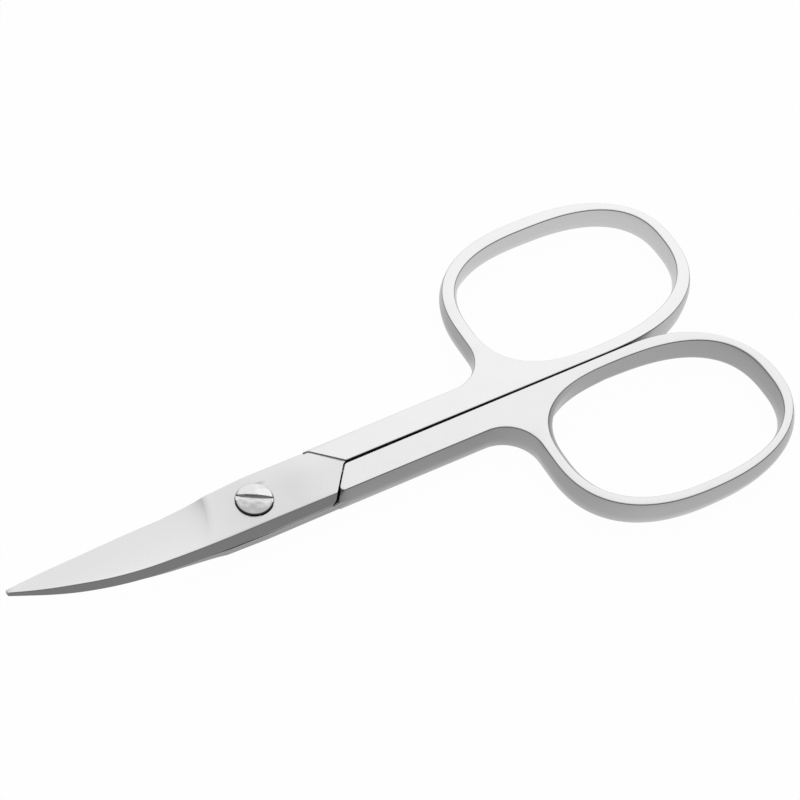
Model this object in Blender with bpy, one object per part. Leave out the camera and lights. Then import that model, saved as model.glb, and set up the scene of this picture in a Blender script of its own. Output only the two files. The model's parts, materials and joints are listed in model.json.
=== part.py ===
# Curved nail scissors: two forged steel halves that cross at one slotted pivot screw.
#
# Metres, +Z up. The closed scissors lie flat: +X points to the finger rings, the blade tips
# are at -X and curve upwards, and the upper half's ring is on the +Y side. The origin is on
# the surface that they rest on, below the middle of their length.
#
# A half is drawn as the upper one, with the pivot's axis at x = 0 and its own ring at +Y.
# The lower half is the same forging turned over about the line between the shanks, with its
# blade bent the other way in its own frame, so that both blades curve upwards together.

import math

import bmesh
import bpy
from mathutils import Vector

MM = 0.001

# Lengths along the scissors, from the pivot's axis
TIP_REACH = 28.8 * MM  # to the blade tips
RING_REACH = 60.8 * MM  # to the far end of the finger rings, without their swell
RING_START = 31.45 * MM  # to the outer wall of the ring's neck
APEX_REACH = 11.0 * MM  # to the apex of the V between plates and shanks

# Shanks
THICKNESS = 3.5 * MM  # of shanks and rings, which is that of both halves at the joint
HALF_WIDTH = 3.2 * MM  # from the line between the shanks to a shank's outer wall
SHANK_GAP = 0.24 * MM  # between the two shanks
EDGE_BREAK = 0.12 * MM  # chamfer round shanks, rings, plates and blades
UPPER_ARM = math.radians(45.0)  # of the upper half's shoulder to the length, at the V
LOWER_ARM = math.radians(52.0)  # of the lower half's
APEX_ROUND = 0.7 * MM  # of a shank's corner at the V's apex
ARM_ROUND = 0.2 * MM  # of its corner at the arm's outer end
NECK_FILLET = 4.4 * MM  # between a shank's outer wall and the neck of its ring

# Finger rings; y counts from the line between the shanks
RING_SIDE = 21.15 * MM  # y of a ring's outermost point
RING_CROWN_X = 46.0 * MM  # x of that point, from the pivot
RING_LEAVE_X = 44.2 * MM  # x where a ring starts to curve away from the other
RING_END_Y = 11.1 * MM  # y of a ring's far end
RING_NECK_Y = 9.9 * MM  # y where the ring's oval meets its neck
RING_FULLNESS = 2.42  # exponent of the oval: 2 is an ellipse, more is squarer
BAND_END = 1.0 * MM  # width of the ring's band at its far end
BAND_NECK = 1.35 * MM  # at the neck
BAND_SIDE = 1.25 * MM  # at the outermost point
BAND_INNER = 1.2 * MM  # beside the other half's ring
SWELL_OUTSIDE = 0.4 * MM  # how far the outer walls of rings and shanks swell at half height
SWELL_INSIDE = 0.75 * MM  # and a ring's inner wall
SWELL_CURVE = 1.6  # exponent of the swell over the height: 1 is a ridge, 2 a parabola
SOLE_BREAK = 0.28 * MM  # chamfer of a ring's edges underneath, where the scissors rest

# Joint plates, each half as thick as the shanks
CONTACT_GAP = 0.14 * MM  # between the two plates, and between the blades
PLATE_SPINE = 2.94 * MM  # from the middle line to the plate's wall on the blade's back
PLATE_EDGE = 3.1 * MM  # and to its wall on the cutting side
WALL_DRAFT = 0.24  # how far the walls of plates and blades lean out, for each unit of their height
PLATE_STEP = 0.3 * MM  # how far the plate is ground below the shank at the V
STEP_REACH = 1.0 * MM  # from the pivot to where that grinding starts
ARM_GAP = 0.2 * MM  # between a plate's end and the other half's shoulder

# Blades
RUNOUT_REACH = 4.8 * MM  # from the pivot to the hollow bevel's start at the cutting edge
RUNOUT_LEAN = 2.0 * MM  # how much later the bevel starts at the back
RUNOUT_STEP = 0.25 * MM  # quick drop of the surface at the bevel's start
RUNOUT_LENGTH = 0.8 * MM  # over which most of that drop is made
BEVEL_REACH = 20.8 * MM  # from the pivot to where the bevel has its full depth
BEVEL_HOLLOW = 1.15  # exponent of the bevel across the blade: 1 is flat, more is hollow
BELLY_REACH = 10.0 * MM  # from the pivot to where the outline starts to curve in
BELLY_WIDTH = 2.74 * MM  # half width of the blade there
BACK_TAPER = 0.45  # share of its thickness that the back would lose on its way to the tip
TIP_WIDTH = 0.53 * MM  # of the blunt tip
TIP_THICKNESS = 0.36 * MM
TIP_GRIND = 12.0 * MM  # length over which the back is ground down further, to the tip
GRIND_CURVE = 2.4  # exponent of that grinding: 1 is straight
EDGE_THICKNESS = 0.14 * MM  # of the cutting edge
BEND_REACH = 3.2 * MM  # from the pivot to where the blades start to bend upwards
BEND_RADIUS = 91.0 * MM

# Pivot screw
HEAD_RADIUS = 2.04 * MM
HEAD_HEIGHT = 1.05 * MM  # of the head's side
HEAD_PROUD = 0.2 * MM  # how far that side stands over the plate
HEAD_DOME = 0.42 * MM  # height of the domed top over the rim
RIM_BREAK = 0.18 * MM  # chamfer of the rim
SEAT_CLEARANCE = 0.12 * MM  # round the head and under it
NECK_RADIUS = 1.2 * MM  # of the plain neck and the threaded end
RUNNING_CLEARANCE = 0.05 * MM  # round the neck, in the upper half
THREAD_CLEARANCE = 0.04 * MM  # round the threaded end, in the lower half
END_RECESS = 0.08 * MM  # from the screw's end to the lower half's outer face
SLOT_WIDTH = 0.62 * MM
SLOT_DEPTH = 0.75 * MM
SLOT_ANGLE = math.radians(-31.0)  # of the slot to the scissors' length

# Facets
OVAL_STEPS = 18  # along each quarter of a ring
FILLET_STEPS = 10
CORNER_STEPS = 4
WALL_LEVELS = (0.25, 0.5, 0.75)  # shares of the height at which a ring's walls have vertices
HOLE_STEPS = 48  # round the screw and its holes
DOME_STEPS = 4
PLATE_ROWS = 3  # along the plate, before and behind the pivot
BEVEL_ROWS = 7  # along the bevel's run-out
BLADE_ROWS = 8  # along the belly, and again along the tip
SIDE_COLUMNS = 5  # across each side of the middle line

STEEL_COLOUR = (0.71, 0.71, 0.70, 1.0)
SCREW_COLOUR = (0.74, 0.74, 0.73, 1.0)

PIVOT_X = (TIP_REACH - RING_REACH - SWELL_OUTSIDE) / 2  # centres the length on the origin
INNER_WALL = SHANK_GAP / 2
CONTACT_HEIGHT = (THICKNESS + CONTACT_GAP) / 2
PLATE_THICKNESS = THICKNESS - CONTACT_HEIGHT
SEAT_HEIGHT = THICKNESS + HEAD_PROUD - HEAD_HEIGHT - SEAT_CLEARANCE
CUT_MARGIN = 1.0 * MM  # how far a cutter runs past the face that it cuts


def blend(start, end, share):
    return start + (end - start) * share


def metal(name, colour, roughness):
    material = bpy.data.materials.new(name)
    material.use_nodes = True
    shader = material.node_tree.nodes["Principled BSDF"]
    shader.inputs["Base Color"].default_value = colour
    shader.inputs["Metallic"].default_value = 1.0
    shader.inputs["Roughness"].default_value = roughness
    return material


def add_object(name, bm):
    bmesh.ops.recalc_face_normals(bm, faces=bm.faces)
    mesh = bpy.data.meshes.new(name)
    bm.to_mesh(mesh)
    bm.free()
    added = bpy.data.objects.new(name, mesh)
    bpy.context.scene.collection.objects.link(added)
    return added


def combine(target, name, bm, operation):
    # A hidden tool, parented to its target, that a Boolean joins on or cuts away.
    tool = add_object(name, bm)
    tool.parent = target
    tool.hide_render = True
    tool.display_type = "WIRE"
    boolean = target.modifiers.new(name, "BOOLEAN")
    boolean.operation = operation
    boolean.solver = "EXACT"
    boolean.object = tool


def finish(piece, material):
    piece.data.materials.append(material)
    piece.data.shade_smooth()
    piece.data.set_sharp_from_angle(angle=math.radians(25.0))


def arc(centre, radius, start, end, steps):
    # Points on an arc between two angles; it runs clockwise if the end is the smaller one.
    angles = [blend(start, end, step / steps) for step in range(steps + 1)]
    return [Vector((centre[0] + radius * math.cos(a), centre[1] + radius * math.sin(a)))
            for a in angles]


def oval_quarter(quadrant, centre, reach):
    # A quarter of a superellipse, anticlockwise; quadrant 0 runs from +X to +Y.
    points = []
    for step in range(OVAL_STEPS + 1):
        angle = (quadrant + step / OVAL_STEPS) * math.pi / 2
        across, up = (math.copysign(abs(part) ** (2 / RING_FULLNESS), part)
                      for part in (math.cos(angle), math.sin(angle)))
        points.append(Vector((centre[0] + reach[0] * across, centre[1] + reach[1] * up)))
    return points


def rounded_corner(corner, before, after, radius):
    # An arc in place of a convex corner of an anticlockwise outline.
    towards_before = (before - corner).normalized()
    towards_after = (after - corner).normalized()
    half_angle = towards_before.angle(towards_after) / 2
    bisector = (towards_before + towards_after).normalized()
    centre = corner + bisector * radius / math.sin(half_angle)
    middle = math.atan2(-bisector.y, -bisector.x)
    turn = math.pi / 2 - half_angle
    return arc(centre, radius, middle - turn, middle + turn, CORNER_STEPS)


def without_doubles(points):
    return [point for index, point in enumerate(points)
            if (point - points[index - 1]).length > 1e-7]


def shank_outline(arm):
    # Anticlockwise from the V's apex: inner wall, three quarters of the ring, neck, outer wall.
    apex = Vector((APEX_REACH - INNER_WALL / math.tan(arm), INNER_WALL))
    shoulder = Vector((APEX_REACH - HALF_WIDTH / math.tan(arm), HALF_WIDTH))
    ring_leave = Vector((RING_LEAVE_X, INNER_WALL))
    fillet_centre = Vector((RING_START - NECK_FILLET, HALF_WIDTH + NECK_FILLET))
    points = rounded_corner(apex, shoulder, ring_leave, APEX_ROUND)
    points += oval_quarter(3, (RING_LEAVE_X, RING_END_Y),
                           (RING_REACH - RING_LEAVE_X, RING_END_Y - INNER_WALL))
    points += oval_quarter(0, (RING_CROWN_X, RING_END_Y),
                           (RING_REACH - RING_CROWN_X, RING_SIDE - RING_END_Y))
    points += oval_quarter(1, (RING_CROWN_X, RING_NECK_Y),
                           (RING_CROWN_X - RING_START, RING_SIDE - RING_NECK_Y))
    points += arc(fillet_centre, NECK_FILLET, 0.0, -math.pi / 2, FILLET_STEPS)
    points += rounded_corner(shoulder, fillet_centre - Vector((0.0, NECK_FILLET)), apex, ARM_ROUND)
    return without_doubles(points)


def ring_hole():
    # Anticlockwise; each side lies one band's width inside the ring's outer wall.
    left = RING_START + BAND_NECK
    right = RING_REACH - BAND_END
    low = INNER_WALL + BAND_INNER
    high = RING_SIDE - BAND_SIDE
    points = oval_quarter(0, (RING_CROWN_X, RING_END_Y), (right - RING_CROWN_X, high - RING_END_Y))
    points += oval_quarter(1, (RING_CROWN_X, RING_NECK_Y), (RING_CROWN_X - left, high - RING_NECK_Y))
    points += oval_quarter(2, (RING_LEAVE_X, RING_NECK_Y), (RING_LEAVE_X - left, RING_NECK_Y - low))
    points += oval_quarter(3, (RING_LEAVE_X, RING_END_Y), (right - RING_LEAVE_X, RING_END_Y - low))
    return without_doubles(points)


def shifted(outline, distances):
    # Each point moved to the outline's left, which is inwards if it runs anticlockwise.
    moved = []
    for index, point in enumerate(outline):
        before = (point - outline[index - 1]).normalized()
        after = (outline[(index + 1) % len(outline)] - point).normalized()
        left = Vector((-before.y - after.y, before.x + after.x)).normalized()
        slant = left.dot(Vector((-before.y, before.x)))
        moved.append(point + left * distances[index] / slant)
    return moved


def ring_share(point):
    # 1 round a ring; it fades to nothing at the shank and beside the other half's ring.
    return min(max((point.y - HALF_WIDTH) / NECK_FILLET, 0.0), 1.0)


def outward(outline, index):
    along = (outline[(index + 1) % len(outline)] - outline[index - 1]).normalized()
    return Vector((along.y, -along.x))


def outside_push(outline, index, arm):
    # Which way, and by what share, the outer wall swells at one point of its outline. The
    # shoulder's sharp corner slides out along the line of its arm, so that the arm stays flat.
    point = outline[index]
    corner_start = HALF_WIDTH - ARM_ROUND * (1 + math.cos(arm))
    if point.x > RING_START:
        share = ring_share(point)
    else:
        share = min(max((point.y - corner_start) / (HALF_WIDTH - corner_start), 0.0), 1.0)
        if point.x < APEX_REACH:
            return Vector((-1 / math.tan(arm), 1.0)) * share
    return outward(outline, index) * share


def wall_places(share, into_metal, sole):
    # Chamfer's distance into the metal, share of the swell and height of the wall's vertices,
    # from the sole to the other face.
    sole_break = blend(EDGE_BREAK, SOLE_BREAK, share)
    places = [(sole_break, 0.0, 0.0), (0.0, 0.0, sole_break)]
    for level in WALL_LEVELS:
        bulge = 1 - abs(2 * level - 1) ** SWELL_CURVE
        places.append((0.0, bulge, blend(sole_break, THICKNESS - EDGE_BREAK, level)))
    places += [(0.0, 0.0, THICKNESS - EDGE_BREAK), (EDGE_BREAK, 0.0, THICKNESS)]
    return [(into_metal * inset, bulge, abs(sole - height)) for inset, bulge, height in places]


def shank_and_ring(arm, sole):
    # sole is the height of the face that is underneath in the finished scissors.
    bm = bmesh.new()
    rims = [[], []]
    outside = shank_outline(arm)
    inside = ring_hole()
    outside_swell = [outside_push(outside, i, arm) * SWELL_OUTSIDE for i in range(len(outside))]
    inside_swell = [-outward(inside, i) * ring_share(inside[i]) * SWELL_INSIDE for i in range(len(inside))]
    for walls, into_metal, swell in ((outside, 1, outside_swell), (inside, -1, inside_swell)):
        rings = []
        for level in zip(*(wall_places(ring_share(point), into_metal, sole) for point in walls)):
            moved = shifted(walls, [inset for inset, _, _ in level])
            places = [(point + push * bulge, height)
                      for point, push, (_, bulge, height) in zip(moved, swell, level)]
            rings.append([bm.verts.new((point.x, point.y, height)) for point, height in places])
        for lower, upper in zip(rings, rings[1:]):
            for i in range(len(lower)):
                bm.faces.new((lower[i - 1], lower[i], upper[i], upper[i - 1]))
        for rim, ring in zip(rims, (rings[0], rings[-1])):
            rim += [bm.edges.get((ring[i - 1], ring[i])) for i in range(len(ring))]
    for rim in rims:
        bmesh.ops.triangle_fill(bm, edges=rim, use_beauty=True)
    return bm


def plate_end(y, other_arm):
    # On the back's side the plate stops short of the other half's shoulder. On the cutting
    # side it runs on into its own shank, which it is joined to.
    apex = APEX_REACH - ARM_GAP / math.sin(other_arm)
    if y <= 0:
        return apex + y / math.tan(other_arm)
    return apex + y * math.tan((math.pi - other_arm) / 2)


def blade_width(x, plate_width):
    # Half width: straight at the plate, tapering to the belly, then one arc to the tip.
    if x > -BELLY_REACH:
        return blend(plate_width, BELLY_WIDTH, max(0.0, -x / BELLY_REACH))
    run = TIP_REACH - BELLY_REACH
    drop = BELLY_WIDTH - TIP_WIDTH / 2
    radius = (run ** 2 + drop ** 2) / (2 * drop)
    return BELLY_WIDTH - radius + math.sqrt(radius ** 2 - (x + BELLY_REACH) ** 2)


def bend_rise(x):
    beyond = max(0.0, -x - BEND_REACH)
    return BEND_RADIUS - math.sqrt(BEND_RADIUS ** 2 - beyond ** 2)


def runout_x(share):
    # Where the bevel starts, at a share of the way from the back to the cutting edge.
    return -RUNOUT_REACH - RUNOUT_LEAN * (1 - share) ** 1.5


def back_thickness(x):
    # Of the plate, and of the blade along its back.
    ground = (x - STEP_REACH) / (APEX_REACH - STEP_REACH)
    tapered = max(0.0, -x / TIP_REACH)
    plate = PLATE_THICKNESS * (1 - BACK_TAPER * tapered) - PLATE_STEP * min(max(ground, 0.0), 1.0)
    tip_share = max(0.0, 1 - (x + TIP_REACH) / TIP_GRIND)
    return blend(plate, TIP_THICKNESS, tip_share ** GRIND_CURVE)


def blade_thickness(x, share):
    back = back_thickness(x)
    beyond = max(0.0, runout_x(share) - x)
    first = RUNOUT_STEP / PLATE_THICKNESS
    remaining = max(0.0, 1 - beyond / (BEVEL_REACH - RUNOUT_REACH))
    depth = first * (1 - math.exp(-beyond / RUNOUT_LENGTH)) + (1 - first) * (1 - remaining ** 1.5)
    return back - (back - EDGE_THICKNESS) * min(depth, 1.0) * share ** BEVEL_HOLLOW


def plate_and_blade(bend, other_arm):
    # A lattice of columns from the back to the cutting edge and rows from the V to the tip,
    # on the contact face and on the outer face, whose long edges are broken. bend is 1 if the
    # blade curves to its outer side and -1 if it curves to its contact side.
    bm = bmesh.new()
    contact, outer, rims = [], [], []
    for column in range(-SIDE_COLUMNS, SIDE_COLUMNS + 1):
        side = column / SIDE_COLUMNS
        plate_width = PLATE_SPINE if side < 0 else PLATE_EDGE
        share = (side * plate_width + PLATE_SPINE) / (PLATE_SPINE + PLATE_EDGE)
        stops = ((plate_end(side * plate_width, other_arm), 0), (STEP_REACH, PLATE_ROWS),
                 (runout_x(share), PLATE_ROWS), (-BELLY_REACH, BEVEL_ROWS),
                 (TIP_GRIND - TIP_REACH, BLADE_ROWS), (-TIP_REACH, BLADE_ROWS))
        places = [stops[0][0]]
        for (start, _), (end, rows) in zip(stops, stops[1:]):
            places += [blend(start, end, (row + 1) / rows) for row in range(rows)]
        lines = [[], [], []]
        for x in places:
            width = blade_width(x, plate_width)
            low = CONTACT_HEIGHT + bend * bend_rise(x)
            high = low + blade_thickness(x, share)
            broken = min(EDGE_BREAK, (high - low) / 4)
            foot = side * (width + WALL_DRAFT * (high - low))
            foot_x = plate_end(foot, other_arm) if x == places[0] else x
            lines[0].append(bm.verts.new((foot_x, foot, low)))
            lines[1].append(bm.verts.new((x, side * (width - broken), high)))
            if abs(side) == 1:
                lines[2].append(bm.verts.new((x, side * width, high - broken)))
        contact.append(lines[0])
        outer.append(lines[1])
        if lines[2]:
            rims.append(lines[2])
    sheets = [contact, outer, [contact[0], rims[0], outer[0]], [contact[-1], rims[1], outer[-1]]]
    for sheet in sheets:
        for left, right in zip(sheet, sheet[1:]):
            for i in range(1, len(left)):
                bm.faces.new((left[i - 1], left[i], right[i], right[i - 1]))
    for end in (0, -1):
        around = [line[end] for line in contact] + [rims[1][end]]
        around += [line[end] for line in reversed(outer)] + [rims[0][end]]
        bm.faces.new(around)
    return bm


def turned(profile):
    # A solid turned about the pivot's axis from (radius, height) pairs that start and end on it.
    bm = bmesh.new()
    verts = [bm.verts.new((radius, 0.0, height)) for radius, height in profile]
    edges = [bm.edges.new(pair) for pair in zip(verts, verts[1:])]
    bmesh.ops.spin(bm, geom=verts + edges, cent=(0, 0, 0), axis=(0, 0, 1), angle=2 * math.pi,
                   steps=HOLE_STEPS, use_merge=True)
    bmesh.ops.remove_doubles(bm, verts=bm.verts, dist=1e-7)
    return bm


def make_half(name, bend, arm, other_arm, sole):
    half = add_object(name, shank_and_ring(arm, sole))
    combine(half, name + "_blade", plate_and_blade(bend, other_arm), "UNION")
    return half


def make_upper_half():
    half = make_half("upper_half", 1, UPPER_ARM, LOWER_ARM, 0.0)
    neck = NECK_RADIUS + RUNNING_CLEARANCE
    seat = HEAD_RADIUS + SEAT_CLEARANCE
    high = THICKNESS + CUT_MARGIN
    low = CONTACT_HEIGHT - CUT_MARGIN
    bore = ((0, low), (neck, low), (neck, SEAT_HEIGHT), (seat, SEAT_HEIGHT), (seat, high), (0, high))
    combine(half, "screw_seat", turned(bore), "DIFFERENCE")
    half.location = (PIVOT_X, 0.0, 0.0)
    return half


def make_lower_half():
    half = make_half("lower_half", -1, LOWER_ARM, UPPER_ARM, THICKNESS)
    hole = NECK_RADIUS + THREAD_CLEARANCE
    high = THICKNESS + CUT_MARGIN
    low = CONTACT_HEIGHT - CUT_MARGIN
    combine(half, "screw_thread", turned(((0, low), (hole, low), (hole, high), (0, high))), "DIFFERENCE")
    half.location = (PIVOT_X, 0.0, THICKNESS)
    half.rotation_euler = (math.pi, 0.0, 0.0)
    return half


def make_screw():
    rim = THICKNESS + HEAD_PROUD
    under = rim - HEAD_HEIGHT
    flat = HEAD_RADIUS - RIM_BREAK
    profile = [(0, END_RECESS), (NECK_RADIUS, END_RECESS), (NECK_RADIUS, under), (HEAD_RADIUS, under),
               (HEAD_RADIUS, rim - RIM_BREAK)]
    for step in range(DOME_STEPS + 1):
        out = 1 - step / DOME_STEPS
        profile.append((flat * out, rim + HEAD_DOME * (1 - out ** 2)))
    screw = add_object("pivot_screw", turned(profile))
    bm = bmesh.new()
    bmesh.ops.create_cube(bm, size=1.0)
    bmesh.ops.scale(bm, verts=bm.verts, vec=(4 * HEAD_RADIUS, SLOT_WIDTH, 2 * SLOT_DEPTH))
    bmesh.ops.translate(bm, verts=bm.verts, vec=(0, 0, rim + HEAD_DOME))
    combine(screw, "slot", bm, "DIFFERENCE")
    screw.location = (PIVOT_X, 0.0, 0.0)
    screw.rotation_euler = (0.0, 0.0, SLOT_ANGLE)
    return screw


def build():
    for leftover in list(bpy.data.objects):
        bpy.data.objects.remove(leftover, do_unlink=True)
    forged = metal("satin_steel", STEEL_COLOUR, 0.3)
    finish(make_upper_half(), forged)
    finish(make_lower_half(), forged)
    finish(make_screw(), metal("screw_steel", SCREW_COLOUR, 0.25))


build()
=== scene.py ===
# Curved nail scissors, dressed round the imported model: two ground and satined steel halves, crossed
# at a domed, slotted screw. Lengths are in millimetres and become metres where a mesh is made.

import json
import math

import bmesh
import bpy
from mathutils import Matrix, Quaternion, Vector


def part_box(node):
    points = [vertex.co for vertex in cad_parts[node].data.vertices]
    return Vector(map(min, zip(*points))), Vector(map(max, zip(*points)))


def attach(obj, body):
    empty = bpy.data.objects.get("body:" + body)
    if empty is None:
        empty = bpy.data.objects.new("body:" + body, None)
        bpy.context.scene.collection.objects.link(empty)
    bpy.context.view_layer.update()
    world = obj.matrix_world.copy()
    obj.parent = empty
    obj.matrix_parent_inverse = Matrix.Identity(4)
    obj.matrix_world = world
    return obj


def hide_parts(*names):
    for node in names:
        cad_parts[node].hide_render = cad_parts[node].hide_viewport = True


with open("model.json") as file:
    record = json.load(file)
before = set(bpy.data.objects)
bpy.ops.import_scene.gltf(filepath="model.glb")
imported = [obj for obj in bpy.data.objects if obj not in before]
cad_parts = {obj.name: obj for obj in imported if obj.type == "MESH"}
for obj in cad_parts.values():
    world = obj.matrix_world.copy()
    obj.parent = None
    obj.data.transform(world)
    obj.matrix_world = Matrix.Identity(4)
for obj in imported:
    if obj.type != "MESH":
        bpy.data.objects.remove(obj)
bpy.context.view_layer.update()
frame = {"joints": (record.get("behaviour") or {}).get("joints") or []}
mm = 0.001
near = 0.0001                # points that are closer than this, in millimetres, are one

hinge = frame["joints"][0]
pivot = Vector(hinge["pos_m"]) / mm
upperLow, upperHigh = (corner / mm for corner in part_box("upper_half"))


# Helpers

def blend(start, end, share):
    return start + (end - start) * share


def clamp(value, low=0.0, high=1.0):
    return min(max(value, low), high)


def deselect():
    if bpy.context.mode != "OBJECT":
        bpy.ops.object.mode_set(mode="OBJECT")
    bpy.ops.object.select_all(action="DESELECT")


def makeActive(piece):
    deselect()
    piece.select_set(True)
    bpy.context.view_layer.objects.active = piece


def edit(piece):
    makeActive(piece)
    bpy.ops.object.mode_set(mode="EDIT")


def choose(piece, kind, test):
    # In edit mode: selects the edges or faces that pass a test.
    bpy.ops.mesh.select_mode(type=kind)
    bpy.ops.mesh.select_all(action="DESELECT")
    mesh = bmesh.from_edit_mesh(piece.data)
    for part in (mesh.edges if kind == "EDGE" else mesh.faces):
        part.select_set(test(part))
    bmesh.update_edit_mesh(piece.data)


def bentGrid(name, across, along, place):
    # A flat grid, bent into shape: place turns a column and a row into a point in millimetres.
    deselect()
    bpy.ops.mesh.primitive_grid_add(x_subdivisions=across, y_subdivisions=along, size=1.0)
    piece = bpy.context.object
    piece.name = name
    for vert in piece.data.vertices:
        column = round((vert.co.x + 0.5) * across)
        row = round((vert.co.y + 0.5) * along)
        vert.co = Vector(place(column, row)) * mm
    edit(piece)
    bpy.ops.mesh.select_all(action="SELECT")
    bpy.ops.mesh.remove_doubles(threshold=near * mm)
    bpy.ops.object.mode_set(mode="OBJECT")
    return piece


def joined(pieces):
    deselect()
    for piece in pieces:
        piece.select_set(True)
    bpy.context.view_layer.objects.active = pieces[0]
    bpy.ops.object.join()
    return bpy.context.object


def closeLoops(piece, height):
    # Fills between the open edges that lie at one height.
    edit(piece)
    choose(piece, "EDGE", lambda edge: edge.is_boundary
           and all(abs(vert.co.z / mm - height) < near for vert in edge.verts))
    bpy.ops.mesh.fill(use_beauty=True)
    bpy.ops.object.mode_set(mode="OBJECT")


def closeEnds(piece):
    # Puts a face on each open end.
    edit(piece)
    choose(piece, "EDGE", lambda edge: edge.is_boundary)
    bpy.ops.mesh.fill(use_beauty=True)
    bpy.ops.object.mode_set(mode="OBJECT")


def faceOutwards(piece):
    edit(piece)
    bpy.ops.mesh.select_all(action="SELECT")
    bpy.ops.mesh.normals_make_consistent(inside=False)
    bpy.ops.object.mode_set(mode="OBJECT")


def combine(piece, other, operation):
    makeActive(piece)
    change = piece.modifiers.new(operation.lower(), "BOOLEAN")
    change.operation = operation
    change.solver = "EXACT"
    change.object = other
    bpy.ops.object.modifier_apply(modifier=change.name)
    bpy.data.objects.remove(other, do_unlink=True)


def cylinder(name, radius, low, high):
    deselect()
    bpy.ops.mesh.primitive_cylinder_add(
        vertices=screw["steps"], radius=radius * mm, depth=(high - low) * mm,
        location=(0, 0, (low + high) / 2 * mm))
    piece = bpy.context.object
    piece.name = name
    bpy.ops.object.transform_apply()
    return piece


def shade(piece):
    # Smooth within each ground face; the flats keep their own normal up to their rounded edges.
    makeActive(piece)
    bpy.ops.object.shade_smooth_by_angle(angle=math.radians(sharpAngle))
    weighted = piece.modifiers.new("weighted", "WEIGHTED_NORMAL")
    weighted.weight = 100
    weighted.keep_sharp = True
    bpy.ops.object.modifier_apply(modifier=weighted.name)
    # How far each face looks up, kept on the mesh for its roughness and for the shade and highlights
    # painted on it.
    facing = piece.data.attributes.new("facing", "FLOAT", "CORNER")
    for corner, normal in enumerate(piece.data.corner_normals):
        facing.data[corner].value = normal.vector.z


def markHole(piece, spec):
    # Marks the walls that look into the finger hole, which get a painted shade of their own.
    centre = Vector((pivot.x + ring["crownX"], spec["bend"] * ring["neckY"], 0.0)) * mm
    inside = piece.data.attributes.new("inside", "FLOAT", "CORNER")
    for corner, normal in enumerate(piece.data.corner_normals):
        place = piece.data.vertices[piece.data.loops[corner].vertex_index].co
        towards = (centre - place).xy.dot(normal.vector.xy)
        atRing = place.x > (pivot.x + spec["neckStart"]) * mm
        inside.data[corner].value = 1.0 if atRing and towards > 0 else 0.0


# The shank and finger ring of one half, seen as the upper half with its pivot at x = 0

shank = {
    "thickness": 3.5,
    "halfWidth": 3.2,        # from the middle line to the outer wall
    "swell": 0.4,            # of the outer wall at half height
    "crestHeight": 0.5,      # of that swell, as a share of the thickness
    "shoulderRun": 1.6,      # the part of the arm that is drawn with the shoulder
    "spurLength": 0.36,      # thin point that the grinding leaves along the outer wall
    "spurWidth": 0.15,
    "spurHollow": 0.6,       # radius between it and the arm
    "cove": 0.8,             # radius between the arm and the plate's inner face
    "coveFade": 0.4,         # height above that face over which its hollow ends
    "neckFillet": 4.4,       # radius between the outer wall and the neck of the ring
    "edgeRound": 0.13,
    "armEdge": 0.5,          # share of that rounding along the arm
}
ring = {
    "swell": 0.5,            # of its outer side at half height
    "swellCurve": 1.6,       # 1 would be a ridge at half height, 2 a full round
    "crownX": 46.0,          # where it is widest, from the pivot
    "lowX": 44.2,            # the lowest point of the hole, next to the other ring
    "endY": 11.1,            # where it reaches furthest, from the middle line
    "neckY": 9.9,            # and where it comes nearest to the pivot
    "neckRun": 10.0,         # from its widest place to where the hole's wall has the neck's form
}
ring["reach"] = upperHigh.x - pivot.x - shank["swell"]
ring["side"] = upperHigh.y - ring["swell"]

detail = {"quarter": 44, "fillet": 20, "corner": 8, "wall": 20}      # steps in each stretch
sharpAngle = 40.0            # edges that turn by more degrees stay sharp


def arc(centre, radius, start, end, steps):
    angles = [blend(start, end, step / steps) for step in range(steps + 1)]
    return [Vector((centre[0] + radius * math.cos(angle), centre[1] + radius * math.sin(angle)))
            for angle in angles]


def ovalQuarter(quadrant, centre, reach, fullness):
    # Quadrant 0 goes from the ring's end to its side, 1 to the neck, 2 to the middle line, 3 back.
    points = []
    for step in range(detail["quarter"] + 1):
        angle = (quadrant + step / detail["quarter"]) * math.pi / 2
        across, up = (math.copysign(abs(part) ** (2 / fullness), part)
                      for part in (math.cos(angle), math.sin(angle)))
        points.append(Vector((centre[0] + reach[0] * across, centre[1] + reach[1] * up)))
    return points


def roundedCorner(corner, before, after, radius):
    towardsBefore = (before - corner).normalized()
    towardsAfter = (after - corner).normalized()
    halfAngle = towardsBefore.angle(towardsAfter) / 2
    bisector = (towardsBefore + towardsAfter).normalized()
    centre = corner + bisector * radius / math.sin(halfAngle)
    middle = math.atan2(-bisector.y, -bisector.x)
    turn = math.pi / 2 - halfAngle
    return arc(centre, radius, middle - turn, middle + turn, detail["corner"])


def shoulderPoints(spec, width, rounding, spur):
    # From the outer wall round the shoulder and a little way down the arm.
    slope = math.radians(spec["arm"])
    steps = detail["corner"]
    corner = Vector((spec["apex"] - width / math.tan(slope), width))
    foot = corner + Vector((math.cos(slope), -math.sin(slope))) * shank["shoulderRun"]
    if not spur:
        turn = roundedCorner(corner, corner + Vector((1.0, 0.0)), foot, rounding)
        return turn + [blend(turn[-1], foot, (step + 1) / steps) for step in range(steps)]
    low = width - shank["spurWidth"]
    hollow = shank["spurHollow"]
    start = spec["apex"] - low / math.tan(slope) - hollow * math.tan(slope / 2)
    tip = Vector((corner.x - shank["spurLength"], (width + low) / 2))
    turn = arc(tip, shank["spurWidth"] / 2, math.pi / 2, 3 * math.pi / 2, steps)
    return turn + arc((start, low - hollow), hollow, math.pi / 2, math.pi / 2 - slope, steps - 1)


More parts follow.
